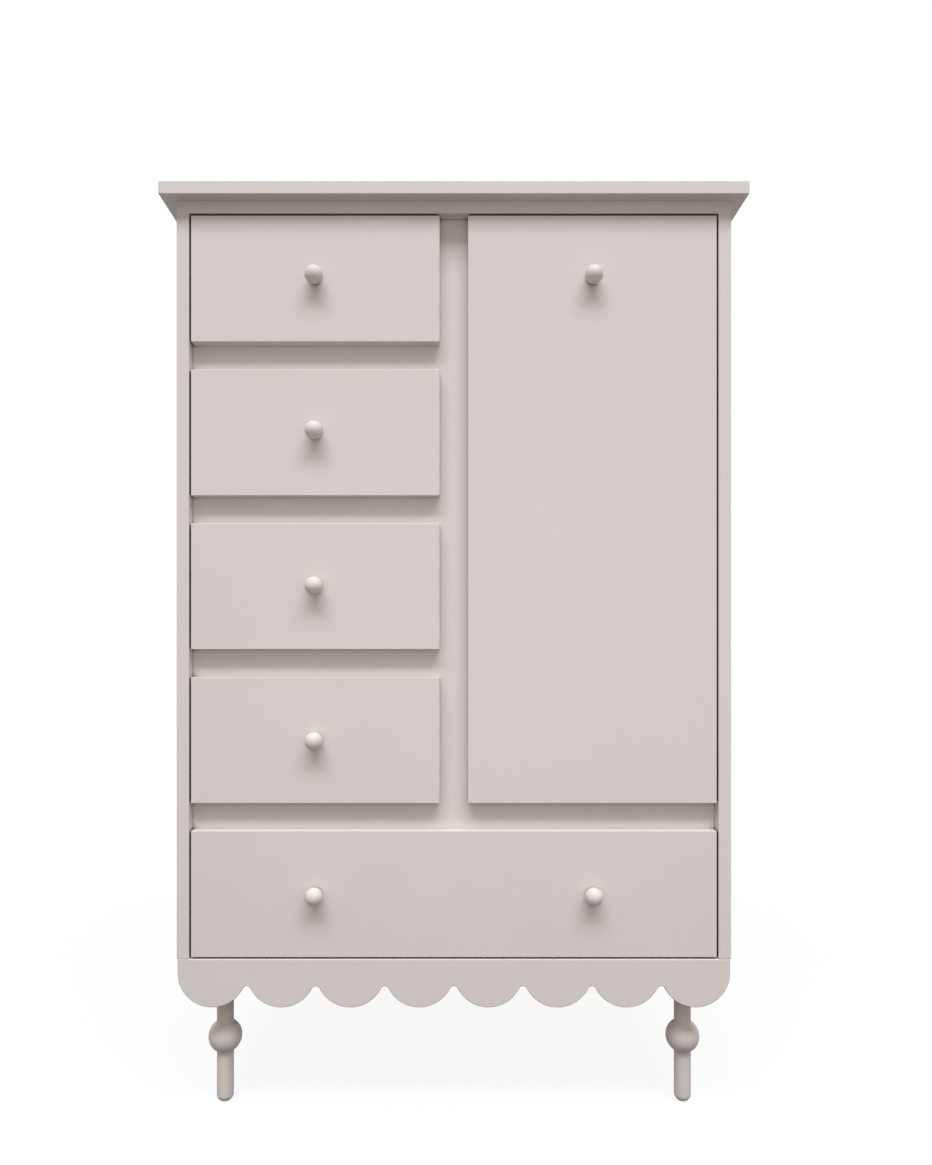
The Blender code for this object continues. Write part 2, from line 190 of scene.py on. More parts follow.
class Tree:
    """The nodes of one material or of the world."""

    def __init__(self, tree: bpy.types.NodeTree) -> None:
        """Starts from an empty tree."""
        tree.nodes.clear()
        self.tree = tree

    def node(
        self,
        kind: str,
        settings: Settings | None = None,
        sockets: Mapping[Union[str, int], Any] | None = None,
        output: Union[str, int] = 0,
    ) -> Value:
        """Adds one node.

        Args:
            kind: Blender's type of the node.
            settings: Its own settings, set first; stops are those of a colour ramp.
            sockets: Numbers, colours or values for its inputs.
            output: The output that is wanted.

        Returns:
            That output, or an empty value for a node without outputs.
        """
        made = self.tree.nodes.new(kind)
        for name, setting in (settings or {}).items():
            if name == "stops":
                self._set_stops(made.color_ramp, setting)
            else:
                setattr(made, name, setting)
        for key, term in (sockets or {}).items():
            if isinstance(term, Value):
                self.tree.links.new(term.socket, made.inputs[key])
            else:
                made.inputs[key].default_value = term
        return Value(self, made.outputs[output] if made.outputs else None)

    @staticmethod
    def _set_stops(ramp: bpy.types.ColorRamp, stops: Sequence[tuple[float, Colour]]) -> None:
        """Gives a colour ramp its stops.

        Args:
            ramp: The ramp.
            stops: Place and colour of each stop.
        """
        while len(ramp.elements) < len(stops):
            ramp.elements.new(1.0)
        for element, (place, colour) in zip(ramp.elements, stops):
            element.position = place
            element.color = opaque(colour)

    def point(self) -> Value:
        """Place on the piece, in metres."""
        return self.node("ShaderNodeTexCoord", {}, {}, "Object")

    def facing(self) -> Value:
        """Direction that the surface faces, in the piece's own axes."""
        return self.node("ShaderNodeTexCoord", {}, {}, "Normal")

    def noise(self, place: Value, grain: float, detail: float = 2.0, warp: float = 0.0) -> Value:
        """Cloudy noise from 0 to 1.

        Args:
            place: Vector that the noise is read at.
            grain: Size of its features, in the vector's units.
            detail: Octaves of finer noise.
            warp: How much the noise bends itself.

        Returns:
            The noise.
        """
        sockets = {"Vector": place, "Scale": 1.0 / grain, "Detail": detail, "Distortion": warp}
        return self.node("ShaderNodeTexNoise", {}, sockets, 0)

    def ramp(self, value: Value, *stops: tuple[float, Colour]) -> Value:
        """Colour looked up along a ramp of stops."""
        return self.node("ShaderNodeValToRGB", {"stops": stops}, {0: value})

    def mix(self, mask: Term, first: Union[Value, Colour], second: Union[Value, Colour]) -> Value:
        """Colour between two others, the second where the mask is 1."""
        ends = [term if isinstance(term, Value) else opaque(term) for term in (first, second)]
        return self.node("ShaderNodeMix", {"data_type": "RGBA"}, {0: mask, 6: ends[0], 7: ends[1]}, 2)

    def varied(self, mask: Term, colour: Colour, darkest: float, lightest: float) -> Value:
        """Colour that a mask from 0 to 1 makes darker or lighter.

        Args:
            mask: The mask.
            colour: The colour.
            darkest: Factor on the colour where the mask is 0.
            lightest: Factor where it is 1.

        Returns:
            The colour that changes.
        """
        return self.mix(mask, shaded(colour, darkest), shaded(colour, lightest))

    def bump(self, height: Value, depth: float) -> Value:
        """Normal of a surface raised by a height from 0 to 1, that many metres deep."""
        return self.node("ShaderNodeBump", {}, {"Height": height, "Distance": depth}, "Normal")

    def openness(self, reach: float) -> Value:
        """Share of the directions from a surface that meet nothing within a reach."""
        settings = {"samples": OCCLUSION_RAYS}
        return self.node("ShaderNodeAmbientOcclusion", settings, {"Distance": reach}, "AO")

    def end(self, shader: Value) -> None:
        """Ends a material with a shader."""
        self.node("ShaderNodeOutputMaterial", {}, {"Surface": shader})

    def seen(self) -> Value:
        """Where a surface is looked at, straight, in a mirror or through glass.

        Returns:
            A mask that is 1 there.
        """
        unseen: Term = 1.0
        for ray in ("Is Camera Ray", "Is Glossy Ray", "Is Transmission Ray"):
            unseen = (1.0 - self.node("ShaderNodeLightPath", {}, {}, ray)) * unseen
        return 1.0 - unseen


def opaque(colour: Colour) -> tuple[float, float, float, float]:
    """Colour with full alpha."""
    return (*colour, 1.0)


def shaded(colour: Colour, factor: float) -> Colour:
    """Colour made lighter or darker."""
    return tuple(part * factor for part in colour)


@dataclass(frozen=True)
class Finish:
    """A finish with its own material.

    Attributes:
        name: Name of the material.
        slot: Material slot of the record; not used here.
        roughness: Roughness that its texture adds to.
        sheen: Level of its reflections.
        metal: Whether it is uncoated metal, 1 or 0.
        relief: Depth of its relief.
    """

    name: str
    slot: str
    roughness: float = 0.42
    sheen: float = 0.50
    metal: float = 0.0
    relief: float = 0.00005

    def material(self) -> bpy.types.Material:
        """The finish as a material.

        Returns:
            The material, made at its first use.
        """
        made = bpy.data.materials.get(self.name)
        if made is None:
            made = bpy.data.materials.new(self.name)
            made.use_nodes = True
            self.shade(Tree(made.node_tree))
        return made

    def shade(self, tree: Tree) -> None:
        """Adds the nodes of the finish.

        Args:
            tree: An empty tree.
        """
        raise NotImplementedError

    def cover(self, tree: Tree, colour: Value, dulling: Value, height: Value) -> None:
        """Ends the nodes of the finish.

        Args:
            tree: Its tree.
            colour: Its colour over the surface.
            dulling: What its texture adds to the roughness.
            height: Its relief from 0 to 1.
        """
        sockets = {
            "Base Color": colour,
            "Metallic": self.metal,
            "Roughness": dulling + self.roughness,
            "Specular IOR Level": self.sheen,
            "Normal": tree.bump(height, self.relief),
        }
        tree.end(tree.node("ShaderNodeBsdfPrincipled", {}, sockets))


@dataclass(frozen=True)
class SatinLacquer(Finish):
    """Sprayed satin lacquer on smooth panels, with clouds, orange peel and optional painted shade in gaps.

    Attributes:
        colour: Colour of the film.
        painted_shade_colour: Dark colour of the painted shade, mixed into the film in narrow gaps.
        joint: Reach of the ambient occlusion that paints shade into narrow gaps, or 0 for none.
        full_shade_below: Openness up to which the painted shade is full.
        no_shade_above: Openness from which there is no painted shade.
        face_only: Whether the painted shade is kept to the faces that look forward.
        cloud: Size of the slow clouds.
        flow: Size of the flow marks.
        peel: Size of the orange peel.
        contrast: How much lighter or darker the clouds make the film.
        flow_share: Share of the flow marks in its colour.
        flow_rise: Their share in its relief.
        dull_clouds: How much its roughness changes with the clouds.
        dull_flow: How much it changes with the flow marks.
        forward: Where a face starts to look forward, and where it fully does.
    """

    colour: Colour = (0.662, 0.612, 0.585)
    # Painted shade in narrow gaps: its dark colour, its reach and where it fades out.
    painted_shade_colour: Colour = (0.180, 0.150, 0.125)
    joint: float = 0.0
    full_shade_below: float = 0.22
    no_shade_above: float = 0.58
    face_only: bool = False
    roughness: float = 0.48
    sheen: float = 0.20
    cloud: float = 0.16
    flow: float = 0.011
    peel: float = 0.0024
    relief: float = 0.00003
    contrast: float = 0.028
    flow_share: float = 0.3
    flow_rise: float = 0.2
    dull_clouds: float = 0.08
    dull_flow: float = 0.10
    forward: tuple[float, float] = (0.5, 0.9)

    def shade(self, tree: Tree) -> None:
        """Adds the nodes of the lacquer.

        Args:
            tree: An empty tree.
        """
        point = tree.point()
        cloud = tree.noise(point, self.cloud, detail=3.0)
        flow = tree.noise(point, self.flow, detail=2.0)
        peel = tree.noise(point, self.peel, detail=1.0)
        patches = cloud * (1.0 - self.flow_share) + flow * self.flow_share
        height = peel * (1.0 - self.flow_rise) + flow * self.flow_rise
        dulling = (cloud - 0.5) * self.dull_clouds + (flow - 0.5) * self.dull_flow
        film = tree.varied(patches, self.colour, 1.0 - self.contrast, 1.0 + self.contrast)
        # Painted shade: where ambient occlusion finds surfaces close by, in narrow gaps and round the foot
        # of a knob, the film is darkened towards a dark colour.
        if self.joint:
            painted_shade_mask = 1.0 - tree.openness(self.joint).rise(self.full_shade_below, self.no_shade_above)
            if self.face_only:
                painted_shade_mask = painted_shade_mask * (0.0 - tree.facing().part(Axis.DEEP)).rise(*self.forward)
            film = tree.mix(painted_shade_mask, film, self.painted_shade_colour)
        self.cover(tree, film, dulling, height)


@dataclass(frozen=True)
class BirchPly(Finish):
    """Birch plywood: a quiet veneer on the faces, its plies on the upper edges.

    Attributes:
        back_from: Where the piece across the back of a box starts, along Y.
        back_blur: Half of the width over which its figure takes over.
        ply: Thickness of a light and a dark ply together.
        figure: Size of the figure of the veneer.
        thin: How much narrower the figure is across the grain.
        along: How much it is drawn in along the grain.
        pore: Size of the pores.
        end_grain: Size of the specks on the edges.
        pale: Lightest colour of the veneer.
        warm: Its darker colour.
        dark: Colour of the dark plies.
    """

    back_from: float = 0.2
    back_blur: float = 0.0002
    ply: float = 0.0028
    figure: float = 0.30
    thin: float = 14.0
    along: float = 1.1
    pore: float = 0.006
    end_grain: float = 0.0012
    pale: Colour = (0.760, 0.625, 0.450)
    warm: Colour = (0.640, 0.490, 0.320)
    dark: Colour = (0.400, 0.270, 0.155)
    sheen: float = 0.35
    relief: float = 0.00006

    def shade(self, tree: Tree) -> None:
        """Adds the nodes of the plywood.

        Args:
            tree: An empty tree.
        """
        point = tree.point()
        back = point.part(Axis.DEEP).rise(self.back_from - self.back_blur, self.back_from + self.back_blur)
        lengthwise = point.stretched(self.thin, self.along, self.thin)
        crosswise = point.stretched(self.along, self.thin, self.thin)
        sides = tree.noise(lengthwise, self.figure, detail=4.0, warp=0.7)
        across = tree.noise(crosswise, self.figure, detail=4.0, warp=0.7)
        figure = sides + (across - sides) * back
        pores = tree.noise(point.stretched(6.0, 1.0, 12.0), self.pore, detail=2.0)
        veneer = tree.ramp(figure * 0.8 + pores * 0.2, (0.30, self.pale), (0.70, self.warm))
        through = point.part(Axis.ACROSS)
        through = through + (point.part(Axis.DEEP) - through) * back
        ply = ((through / self.ply).fraction() - 0.5).size().rise(0.20, 0.30)
        end_grain = tree.noise(point, self.end_grain, detail=2.0)
        edge = tree.mix(ply * 0.75 + end_grain * 0.25, self.pale, self.dark)
        upward = tree.facing().part(Axis.UP).rise(0.6, 0.8)
        colour = tree.mix(upward, veneer, edge)
        self.cover(tree, colour, figure * 0.14 + pores * 0.10, pores + ply * upward * 0.5)


@dataclass(frozen=True)
class CoatedSheet(Finish):
    """Thin hardboard with a pale printed coat, through which its fibres show.

    Attributes:
        colour: Colour of the coat.
        fibre: Size of the fibres.
        mottle: Size of the slow mottle.
    """

    colour: Colour = (0.700, 0.665, 0.615)
    fibre: float = 0.0045
    mottle: float = 0.07
    roughness: float = 0.48
    sheen: float = 0.30
    relief: float = 0.00007

    def shade(self, tree: Tree) -> None:
        """Adds the nodes of the sheet.

        Args:
            tree: An empty tree.
        """
        point = tree.point()
        fibre = tree.noise(point, self.fibre, detail=5.0, warp=1.2)
        mottle = tree.noise(point, self.mottle, detail=3.0)
        tone = tree.varied(fibre * 0.6 + mottle * 0.4, self.colour, darkest=0.90, lightest=1.08)
        self.cover(tree, tone, fibre * 0.20, fibre)


@dataclass(frozen=True)
class WaxedBeech(Finish):
    """Waxed beech with its short dark flecks, the grain along the strip.

    Attributes:
        pale: Lightest colour of the wood.
        warm: Its darker colour.
        fleck: Colour of the flecks.
        figure: Size of the figure.
        fleck_size: Size of the flecks.
    """

    pale: Colour = (0.650, 0.455, 0.285)
    warm: Colour = (0.530, 0.345, 0.200)
    fleck: Colour = (0.330, 0.195, 0.105)
    figure: float = 0.22
    fleck_size: float = 0.0026
    roughness: float = 0.36
    sheen: float = 0.40

    def shade(self, tree: Tree) -> None:
        """Adds the nodes of the wood.

        Args:
            tree: An empty tree.
        """
        point = tree.point()
        figure = tree.noise(point.stretched(18.0, 0.9, 18.0), self.figure, detail=3.0, warp=0.5)
        spots = tree.noise(point.stretched(5.0, 0.5, 5.0), self.fleck_size, detail=1.0)
        flecks = spots.rise(low=0.62, high=0.72)
        wood = tree.ramp(figure, (0.32, self.pale), (0.68, self.warm))
        colour = tree.mix(flecks * 0.7, wood, self.fleck)
        self.cover(tree, colour, (figure + flecks) * 0.12, 1.0 - flecks)


@dataclass(frozen=True)
class PlatedSteel(Finish):
    """Plated pressed steel, clouded by handling and drawn out in fine lines.

    Attributes:
        colour: Colour of the plating.
        cloud: Size of the clouds.
        line: Size of the lines.
    """

    colour: Colour = (0.610, 0.600, 0.585)
    cloud: float = 0.012
    line: float = 0.0009
    roughness: float = 0.26
    metal: float = 1.0
    relief: float = 0.00001

    def shade(self, tree: Tree) -> None:
        """Adds the nodes of the metal.

        Args:
            tree: An empty tree.
        """
        point = tree.point()
        cloud = tree.noise(point, self.cloud, detail=3.0)
        lines = tree.noise(point.stretched(1.0, 1.0, 0.08), self.line, detail=2.0)
        tone = tree.varied(cloud, self.colour, darkest=0.90, lightest=1.06)
        self.cover(tree, tone, cloud * 0.12 + lines * 0.10, lines)


@dataclass(frozen=True)
class GrainedPlastic(Finish):
    """Dark moulded plastic with an eroded grain.

    Attributes:
        colour: Its colour.
        grain: Size of the grain.
        bloom: Size of the pale bloom on it.
    """

    colour: Colour = (0.030, 0.030, 0.032)
    grain: float = 0.0007
    bloom: float = 0.02

    def shade(self, tree: Tree) -> None:
        """Adds the nodes of the plastic.

        Args:
            tree: An empty tree.
        """
        point = tree.point()
        grain = tree.noise(point, self.grain, detail=2.0)
        bloom = tree.noise(point, self.bloom, detail=2.0)
        tone = tree.varied(bloom, self.colour, darkest=0.85, lightest=1.35)
        self.cover(tree, tone, grain * 0.16, grain)


@dataclass(frozen=True)
class WhiteStage(Finish):
    """White sheet under the dresser, which shows as white and keeps its shadow.

    Attributes:
        colour: Its tone for the light that it throws back.
        shown: Its tone where it is looked at.
        glow: Share of plain white where the sheet is looked at, near the dresser.
        near: Where that share starts to rise, from the middle of the dresser.
        far: Where the sheet is plain white.
    """

    colour: Colour = (0.12, 0.12, 0.12)
    shown: Colour = (0.8, 0.8, 0.8)
    glow: float = 0.90
    near: float = 0.7
    far: float = 2.2

    def shade(self, tree: Tree) -> None:
        """Adds the nodes of the sheet.

        Args:
            tree: An empty tree.
        """
        point = tree.point()
        away = point.length().rise(self.near, self.far)
        seen = tree.seen()
        tone = tree.mix(seen, self.colour, self.shown)
        sheet = tree.node("ShaderNodeBsdfDiffuse", {}, {"Color": tone})
        white = tree.node("ShaderNodeEmission", {}, {"Color": opaque(WHITE), "Strength": 1.0})
        share = seen * (away * (1.0 - self.glow) + self.glow)
        tree.end(tree.node("ShaderNodeMixShader", {}, {0: share, 1: sheet, 2: white}))


LACQUER = SatinLacquer("satin_lacquer", "paint")
# Painted shade: this lacquer darkens the narrow gaps and tight corners of the carcass boards.
FRAME_LACQUER_GAP_SHADE = SatinLacquer("frame_lacquer_gap_shade", "paint", joint=0.010)
# Painted shadow: this lacquer darkens a ring round the foot of each knob, on faces that look forward.
FRONT_LACQUER_KNOB_SHADOW = SatinLacquer(
    "front_lacquer_knob_shadow", "paint", joint=0.020, full_shade_below=0.35, no_shade_above=0.65, face_only=True
)
BIRCH = BirchPly("birch_ply", "drawer_box_birch", back_from=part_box("drawer_1_box")[1].y - BOX_BACK_BOARD)
SHEET = CoatedSheet("coated_sheet", "sheet")
BEECH = WaxedBeech("waxed_beech", "runner_beech")
NICKEL = PlatedSteel("nickel_plate", "hardware_steel")
ZINC = PlatedSteel(
    "zinc_screw", "hardware_steel", roughness=0.34, colour=(0.560, 0.545, 0.500), cloud=0.006, line=0.0006
)
BLUED = PlatedSteel(
    "blued_nail", "hardware_steel", roughness=0.40, colour=(0.210, 0.215, 0.230), cloud=0.004, line=0.0006
)
PLASTIC = GrainedPlastic("dark_plastic", "catch_plastic")
STAGE = WhiteStage("white_stage", "")


def arc(middle: Point2, radius: float, start: float, end: float, steps: int) -> list[Point2]:
    """Points along an arc.

    Args:
        middle: Centre of the arc.
        radius: Its radius.
        start: Angle of the first point, in radians.
        end: Angle of the last point.
        steps: Number of chords.

    Returns:
        The points, both ends among them.
    """
    turn = (end - start) / steps
    angles = [start + i * turn for i in range(steps + 1)]
    return [(middle[0] + radius * math.cos(a), middle[1] + radius * math.sin(a)) for a in angles]


def add_ring(bm: bmesh.types.BMesh, radius: float, height: float, steps: int) -> Ring:
    """Adds a ring of vertices about Z.

    Args:
        bm: The mesh.
        radius: Radius of the ring.
        height: Its height.
        steps: Number of vertices.

    Returns:
        The vertices in order.
    """
    turns = [2 * math.pi * i / steps for i in range(steps)]
    return [bm.verts.new((radius * math.cos(a), radius * math.sin(a), height)) for a in turns]


def neighbours(ring: Ring) -> list[tuple[bmesh.types.BMVert, bmesh.types.BMVert]]:
    """Each vertex of a closed ring with the next one."""
    return list(zip(ring, ring[1:] + ring[:1]))


def join_rings(bm: bmesh.types.BMesh, rings: Sequence[Ring]) -> None:
    """Joins each ring of vertices to the next one with faces.

    Args:
        bm: The mesh.
        rings: Rings with as many vertices each.
    """
    for lower, upper in zip(rings, rings[1:]):
        for (a, b), (c, d) in zip(neighbours(lower), neighbours(upper)):
            bm.faces.new((a, b, d, c))


def turned(profile: Sequence[Point2], steps: int) -> bmesh.types.BMesh:
    """A turned solid about Z.

    Args:
        profile: Radius and height of each point, with both ends on the axis.
        steps: Facets round the axis.

    Returns:
        The mesh.
    """
    bm = bmesh.new()
    rings = [add_ring(bm, radius, height, steps) for radius, height in profile[1:-1]]
    join_rings(bm, rings)
    for (_, height), ring in ((profile[0], rings[0]), (profile[-1], rings[-1])):
        tip = bm.verts.new((0.0, 0.0, height))
        for a, b in neighbours(ring):
            bm.faces.new((a, b, tip))
    return bm


def extruded(outline: Sequence[Point2], depth: float) -> bmesh.types.BMesh:
    """A solid from an outline.

    Args:
        outline: Points (x, z) round it.
        depth: How far it goes from y = 0.

    Returns:
        The mesh.
    """
    bm = bmesh.new()
    face = bm.faces.new([bm.verts.new((x, 0.0, z)) for x, z in outline])
    moved = bmesh.ops.extrude_face_region(bm, geom=[face])["geom"]
    verts = [item for item in moved if isinstance(item, bmesh.types.BMVert)]
    bmesh.ops.translate(bm, verts=verts, vec=(0, depth, 0))
    return bm


def add_block(bm: bmesh.types.BMesh, low: Sequence[float], high: Sequence[float]) -> None:
    """Adds a block to a mesh.

    Args:
        bm: The mesh.
        low: Lowest corner of the block.
        high: Its highest corner.
    """
    made = bmesh.ops.create_cube(bm, size=1.0)["verts"]
    bmesh.ops.scale(bm, verts=made, vec=[b - a for a, b in zip(low, high)])
    bmesh.ops.translate(bm, verts=made, vec=[(a + b) / 2 for a, b in zip(low, high)])


def add_mesh(bm: bmesh.types.BMesh, made: bmesh.types.BMesh, at: Vector, facing: Vector) -> None:
    """Adds a mesh to another.

    Args:
        bm: The mesh that grows.
        made: The mesh that is added; it is freed.
        at: Where its origin goes.
        facing: Where its Z axis points.
    """
    turn = Vector(facing).to_track_quat("Z", "Y").to_matrix().to_4x4()
    bmesh.ops.transform(made, matrix=Matrix.Translation(at) @ turn, verts=made.verts)
    bmesh.ops.recalc_face_normals(made, faces=made.faces)
    held = bpy.data.meshes.new("held")
    made.to_mesh(held)
    made.free()
    bm.from_mesh(held)
    bpy.data.meshes.remove(held)


def soften(obj: bpy.types.Object, width: float, segments: int = 2, weld: bool = False) -> None:
    """Rounds the edges of a piece with modifiers.

    Args:
        obj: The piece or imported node.
        width: How far from an edge the rounding starts.
        segments: Facets across it.
        weld: Whether the corners of its triangles are joined first.
    """
    if weld:
        join = obj.modifiers.new("joined corners", "WELD")
        join.merge_threshold = WELD_REACH
    edge = obj.modifiers.new("softened edges", "BEVEL")
    edge.width = width
    edge.segments = segments
    edge.limit_method = "ANGLE"
    edge.angle_limit = BEVEL_ANGLE
    edge.harden_normals = True


def make_piece(
    name: str, bm: bmesh.types.BMesh, finish: Finish, body: str, crease: float = 35.0
) -> bpy.types.Object:
    """Makes a piece that rides on a body of the dresser.

    Args:
        name: Name of the piece.
        bm: Its mesh, in the frame of the dresser; it is freed.
        finish: Its finish.
        body: The body it rides on.
        crease: Edges sharper than this many degrees stay sharp.

    Returns:
        The piece.
    """
    bmesh.ops.recalc_face_normals(bm, faces=bm.faces)
    mesh = bpy.data.meshes.new(name)
    bm.to_mesh(mesh)
    bm.free()
    mesh.shade_smooth()
    mesh.set_sharp_from_angle(angle=math.radians(crease))
    mesh.materials.append(finish.material())
    obj = bpy.data.objects.new(name, mesh)
    bpy.context.scene.collection.objects.link(obj)
    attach(obj, body)
    log.info("piece %s rides on %s in %s", name, body, finish.name)
    return obj


def dress(nodes: Iterable[str], finish: Finish) -> None:
    """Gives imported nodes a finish.

    Args:
        nodes: Names of the nodes.
        finish: Their finish.
    """
    for name in nodes:
        obj = frame["nodes"][name]
        for slot in obj.material_slots:
            slot.material = finish.material()
        log.info("node %s in %s", name, finish.name)


def body_of(node: str) -> str:
    """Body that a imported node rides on."""
    return frame["nodes"][node]["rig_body"]


def middle_of(node: str) -> Vector:
    """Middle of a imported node's box."""
    low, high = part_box(node)
    return (low + high) / 2


class Head(Enum):
    """Form of a screw head: rings of (share of the radius, share of the height)."""

    PAN = ((1.0, 0.0), (1.0, 0.30), (0.95, 0.62), (0.84, 0.86), (0.66, 1.0))
    FLUSH = ((1.0, 0.0), (0.97, 1.0))


@dataclass(frozen=True)
class Screw:
    """A screw head with a cross recess.

    Attributes:
        head: Form of the head.
        radius: Its radius.
        height: How far it stands out.
        steps: Facets round it.
    """

    head: Head
    radius: float
    height: float
    steps: int = 24

    # Recess, over the radius of the head, and its floor over its mouth
    arm_reach = 0.52
    arm_half = 0.13
    recess_depth = 0.3
    recess_floor = 0.8

    def mesh(self) -> bmesh.types.BMesh:
        """The head about Z.

        Returns:
            Its mesh, with the seat at height 0.
        """
        bm = bmesh.new()
        sizes = [(share * self.radius, rise * self.height) for share, rise in self.head.value]
        rings = [add_ring(bm, radius, height, self.steps) for radius, height in sizes]
        join_rings(bm, rings)
        bm.faces.new(rings[0])
        cross = [bm.verts.new((x, y, self.height)) for x, y in self._cross()]
        floor, depth = self.recess_floor, self.recess_depth * self.radius
        sunk = [bm.verts.new((floor * v.co.x, floor * v.co.y, v.co.z - depth)) for v in cross]
        loop = [bm.edges.new(pair) for pair in neighbours(cross)]
        rim = [bm.edges.get(pair) for pair in neighbours(rings[-1])]
        bmesh.ops.triangle_fill(bm, use_beauty=True, use_dissolve=False, edges=loop + rim)
        join_rings(bm, (cross, sunk))
        bm.faces.new(sunk)
        return bm

    def _cross(self) -> list[Point2]:
        """Outline of the cross recess.

        Returns:
            Points round it.
        """
        reach, half = self.arm_reach * self.radius, self.arm_half * self.radius
        arm = [(reach, -half), (reach, half), (half, half)]
        points = []
        for quarter in range(4):
            angle = quarter * math.pi / 2
            cos, sin = round(math.cos(angle)), round(math.sin(angle))
            points += [(x * cos - y * sin, x * sin + y * cos) for x, y in arm]
        return points

    def add(self, bm: bmesh.types.BMesh, at: Vector, facing: Vector) -> None:
        """Adds the head to a mesh, seated at a point and facing a direction."""
        add_mesh(bm, self.mesh(), at, facing)


@dataclass
class Carcass:
    """Boards of the carcass, the frame behind the fronts and the back.

    Attributes:
        soft_edge: Rounding of the painted boards.
        nail_radius: Radius of a nail head in the back.
        nail_rise: How far it stands out.
        nail_pitch: Distance between nails, about.
        nail_inset: From an edge of the back panel to its nails.
        filler_depth: How far the paint goes into a joint.
        filler_sink: How far it lies under the face of the boards.
        filler_lap: How far it goes over the board beside it.
    """

    soft_edge: float = 0.0003
    nail_radius: float = 0.0032
    nail_rise: float = 0.00002
    nail_pitch: float = 0.105
    nail_inset: float = 0.0095
    filler_depth: float = 0.004
    filler_sink: float = 0.00005
    filler_lap: float = 0.0012

    eased = ("top_panel", "carcass_top", "side_panel_left", "side_panel_right", "bottom_panel")
    inner = ("middle_panel", "partition", "lower_rail", "centre_stile")
    rails = ("drawer_rail_1", "drawer_rail_2", "drawer_rail_3")
    nail_form = ((0.0, -1.0), (1.0, -1.0), (0.94, 0.6), (0.6, 1.0), (0.0, 1.0))
    nail_steps = 16

    def build(self) -> None:
        """Dresses the boards and adds what is on them."""
        # The carcass boards get a lacquer with painted shade in their narrow gaps.
        dress((*self.eased, *self.inner, *self.rails), FRAME_LACQUER_GAP_SHADE)
        dress(("back_panel",), SHEET)
        for name in self.eased:
            soften(frame["nodes"][name], self.soft_edge, weld=True)
        self.fill_joints()
        self.fill_corners()
        self.nail_back()

    def fill_joints(self) -> bpy.types.Object:
        """Closes the joints of the frame with paint, level with its face.

        Returns:
            The paint.
        """
        bm = bmesh.new()
        stile_low, stile_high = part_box("centre_stile")
        front = stile_low.y + self.filler_sink
        back = front + self.filler_depth
        for name in self.rails:
            low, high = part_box(name)
            add_block(bm, (high.x, front, low.z), (stile_low.x, back, high.z))
        rail_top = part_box("lower_rail")[1].z
        add_block(bm, (stile_low.x, front, rail_top), (stile_high.x, back, stile_low.z))
        return make_piece("frame_joint_filler", bm, LACQUER, body_of("centre_stile"))

    def fill_corners(self) -> bpy.types.Object:
        """Closes the joints of the carcass top with the sides and the top panel.

        Returns:
            The paint in them.
        """
        bm = bmesh.new()
        low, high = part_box("carcass_top")
        left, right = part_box("side_panel_left"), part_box("side_panel_right")
        front = low.y + self.filler_sink
        back = front + self.filler_depth
        seam = high.z - self.filler_lap
        for start, end in ((left[1].x, low.x), (high.x, right[0].x)):
            add_block(
                bm,
                (start - self.filler_lap, front, low.z + self.filler_sink),
                (end + self.filler_lap, back, seam),
            )
        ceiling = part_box("top_panel")[0].z
        outer = (left[0].x + self.filler_sink, right[1].x - self.filler_sink)
        add_block(bm, (outer[0], front, seam), (outer[1], back, ceiling))
        for start, end in (
            (outer[0], outer[0] + self.filler_depth),
            (outer[1] - self.filler_depth, outer[1]),
        ):
            add_block(bm, (start, back, seam), (end, left[1].y - self.filler_sink, ceiling))
        return make_piece("top_joint_filler", bm, LACQUER, body_of("carcass_top"))

    def nail_back(self) -> bpy.types.Object:
        """Nails the back panel round its edge and along the boards behind it.

        Returns:
            The nails.
        """
        low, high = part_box("back_panel")
        inset = self.nail_inset
        corners = (low.x + inset, high.x - inset, low.z + inset, high.z - inset)
        left, right, bottom, top = corners
        middle = middle_of("middle_panel").z
        runs = [
            ((left, bottom), (left, top)),
            ((right, bottom), (right, top)),
            ((left, bottom), (right, bottom)),
            ((left, top), (right, top)),
            ((left, middle), (right, middle)),
            ((0.0, middle), (0.0, top)),
        ]
        profile = [(wide * self.nail_radius, up * self.nail_rise) for wide, up in self.nail_form]
        bm = bmesh.new()
        for start, end in runs:
            count = round(math.dist(start, end) / self.nail_pitch)
            for i in range(1, count):
                share = i / count
                x, z = (a + (b - a) * share for a, b in zip(start, end))
                nail = turned(profile, self.nail_steps)
                add_mesh(bm, nail, Vector((x, high.y, z)), Vector((0, 1, 0)))
        return make_piece("back_panel_nails", bm, BLUED, body_of("back_panel"))


